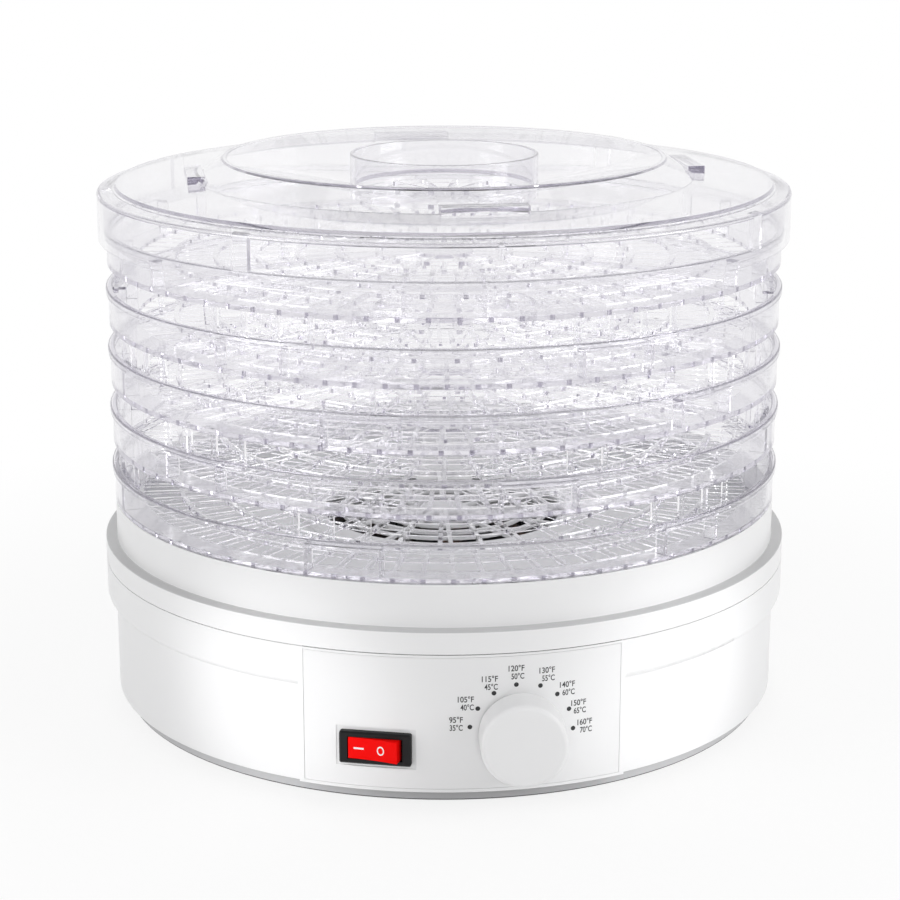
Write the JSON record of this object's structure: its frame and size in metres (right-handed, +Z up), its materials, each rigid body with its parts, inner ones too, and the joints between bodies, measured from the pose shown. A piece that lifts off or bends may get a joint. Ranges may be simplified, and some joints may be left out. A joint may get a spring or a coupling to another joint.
{
  "type": "food dehydrator",
  "caption": "Round countertop food dehydrator: white fan and heater base with rocker switch and dial, stacked clear trays and a clear vented lid.",
  "frame": {"origin": "on the round axis, in the plane that the rubber feet stand on", "axes": "+Z up along the stack, -Y to the front with the controls, +X to the right seen from the front"},
  "size_m": [0.3334, 0.35, 0.267],
  "materials": {
    "white_plastic": "smooth gloss",
    "grey_plastic": "fine matt",
    "clear_plastic": "polished clear",
    "black_plastic": "satin",
    "red_plastic": "translucent gloss",
    "black_rubber": "matt",
    "zinc_steel": "bright zinc",
    "dark_steel": "dull",
    "copper_winding": "enamelled wire",
    "brass": "bright"
  },
  "bodies": {
    "base": {"base_housing": "white_plastic", "base_screws": "zinc_steel", "bearing_bushes": "brass", "bottom_plate": "grey_plastic", "control_panel": "white_plastic", "cord_gland": "black_rubber", "gland_nut": "black_plastic", "heat_shield": "zinc_steel", "heater_clips": "zinc_steel", "heater_element": "dark_steel", "motor_coil": "copper_winding", "motor_screws": "zinc_steel", "motor_spacers": "zinc_steel", "motor_stator": "dark_steel", "motor_strap_lower": "zinc_steel", "motor_strap_upper": "zinc_steel", "outlet_guard": "white_plastic", "rubber_feet": "black_rubber", "switch_housing": "black_plastic", "switch_terminals": "brass", "terminal_block": "white_plastic", "thermal_cutoff": "black_plastic", "thermostat_body": "black_plastic", "thermostat_nut": "zinc_steel", "top_cover": "white_plastic"},
    "rocker": {"switch_rocker": "red_plastic"},
    "dial": {"temperature_knob": "white_plastic", "thermostat_shaft": "zinc_steel"},
    "fan": {"fan_impeller": "black_plastic", "motor_shaft": "zinc_steel", "motor_rotor": "dark_steel"},
    "tray_1": {"tray_1": "clear_plastic"},
    "tray_2": {"tray_2": "clear_plastic"},
    "tray_3": {"tray_3": "clear_plastic"},
    "tray_4": {"tray_4": "clear_plastic"},
    "tray_5": {"tray_5": "clear_plastic"},
    "lid": {"lid": "clear_plastic"}
  },
  "joints": [
    {"name": "rocker_tilt", "type": "hinge", "parent": "base", "child": "rocker", "pos_m": [-0.03838, -0.16109, 0.0295], "axis": [0, 0, 1], "range_deg": [0, 18]},
    {"name": "dial_turn", "type": "hinge", "parent": "base", "child": "dial", "pos_m": [0.025, -0.17, 0.0366], "axis": [0, 1, 0], "range_deg": [0, 173]},
    {"name": "fan_spin", "type": "hinge", "parent": "base", "child": "fan", "pos_m": [0, 0, 0.045], "axis": [0, 0, 1], "continuous": true},
    {"name": "tray_1_lift", "type": "slide", "parent": "base", "child": "tray_1", "axis": [0, 0, 1], "range_m": [0, 0.06]},
    {"name": "tray_2_lift", "type": "slide", "parent": "tray_1", "child": "tray_2", "axis": [0, 0, 1], "range_m": [0, 0.06]},
    {"name": "tray_3_lift", "type": "slide", "parent": "tray_2", "child": "tray_3", "axis": [0, 0, 1], "range_m": [0, 0.06]},
    {"name": "tray_4_lift", "type": "slide", "parent": "tray_3", "child": "tray_4", "axis": [0, 0, 1], "range_m": [0, 0.06]},
    {"name": "tray_5_lift", "type": "slide", "parent": "tray_4", "child": "tray_5", "axis": [0, 0, 1], "range_m": [0, 0.06]},
    {"name": "lid_lift", "type": "slide", "parent": "tray_5", "child": "lid", "axis": [0, 0, 1], "range_m": [0, 0.06]}
  ]
}
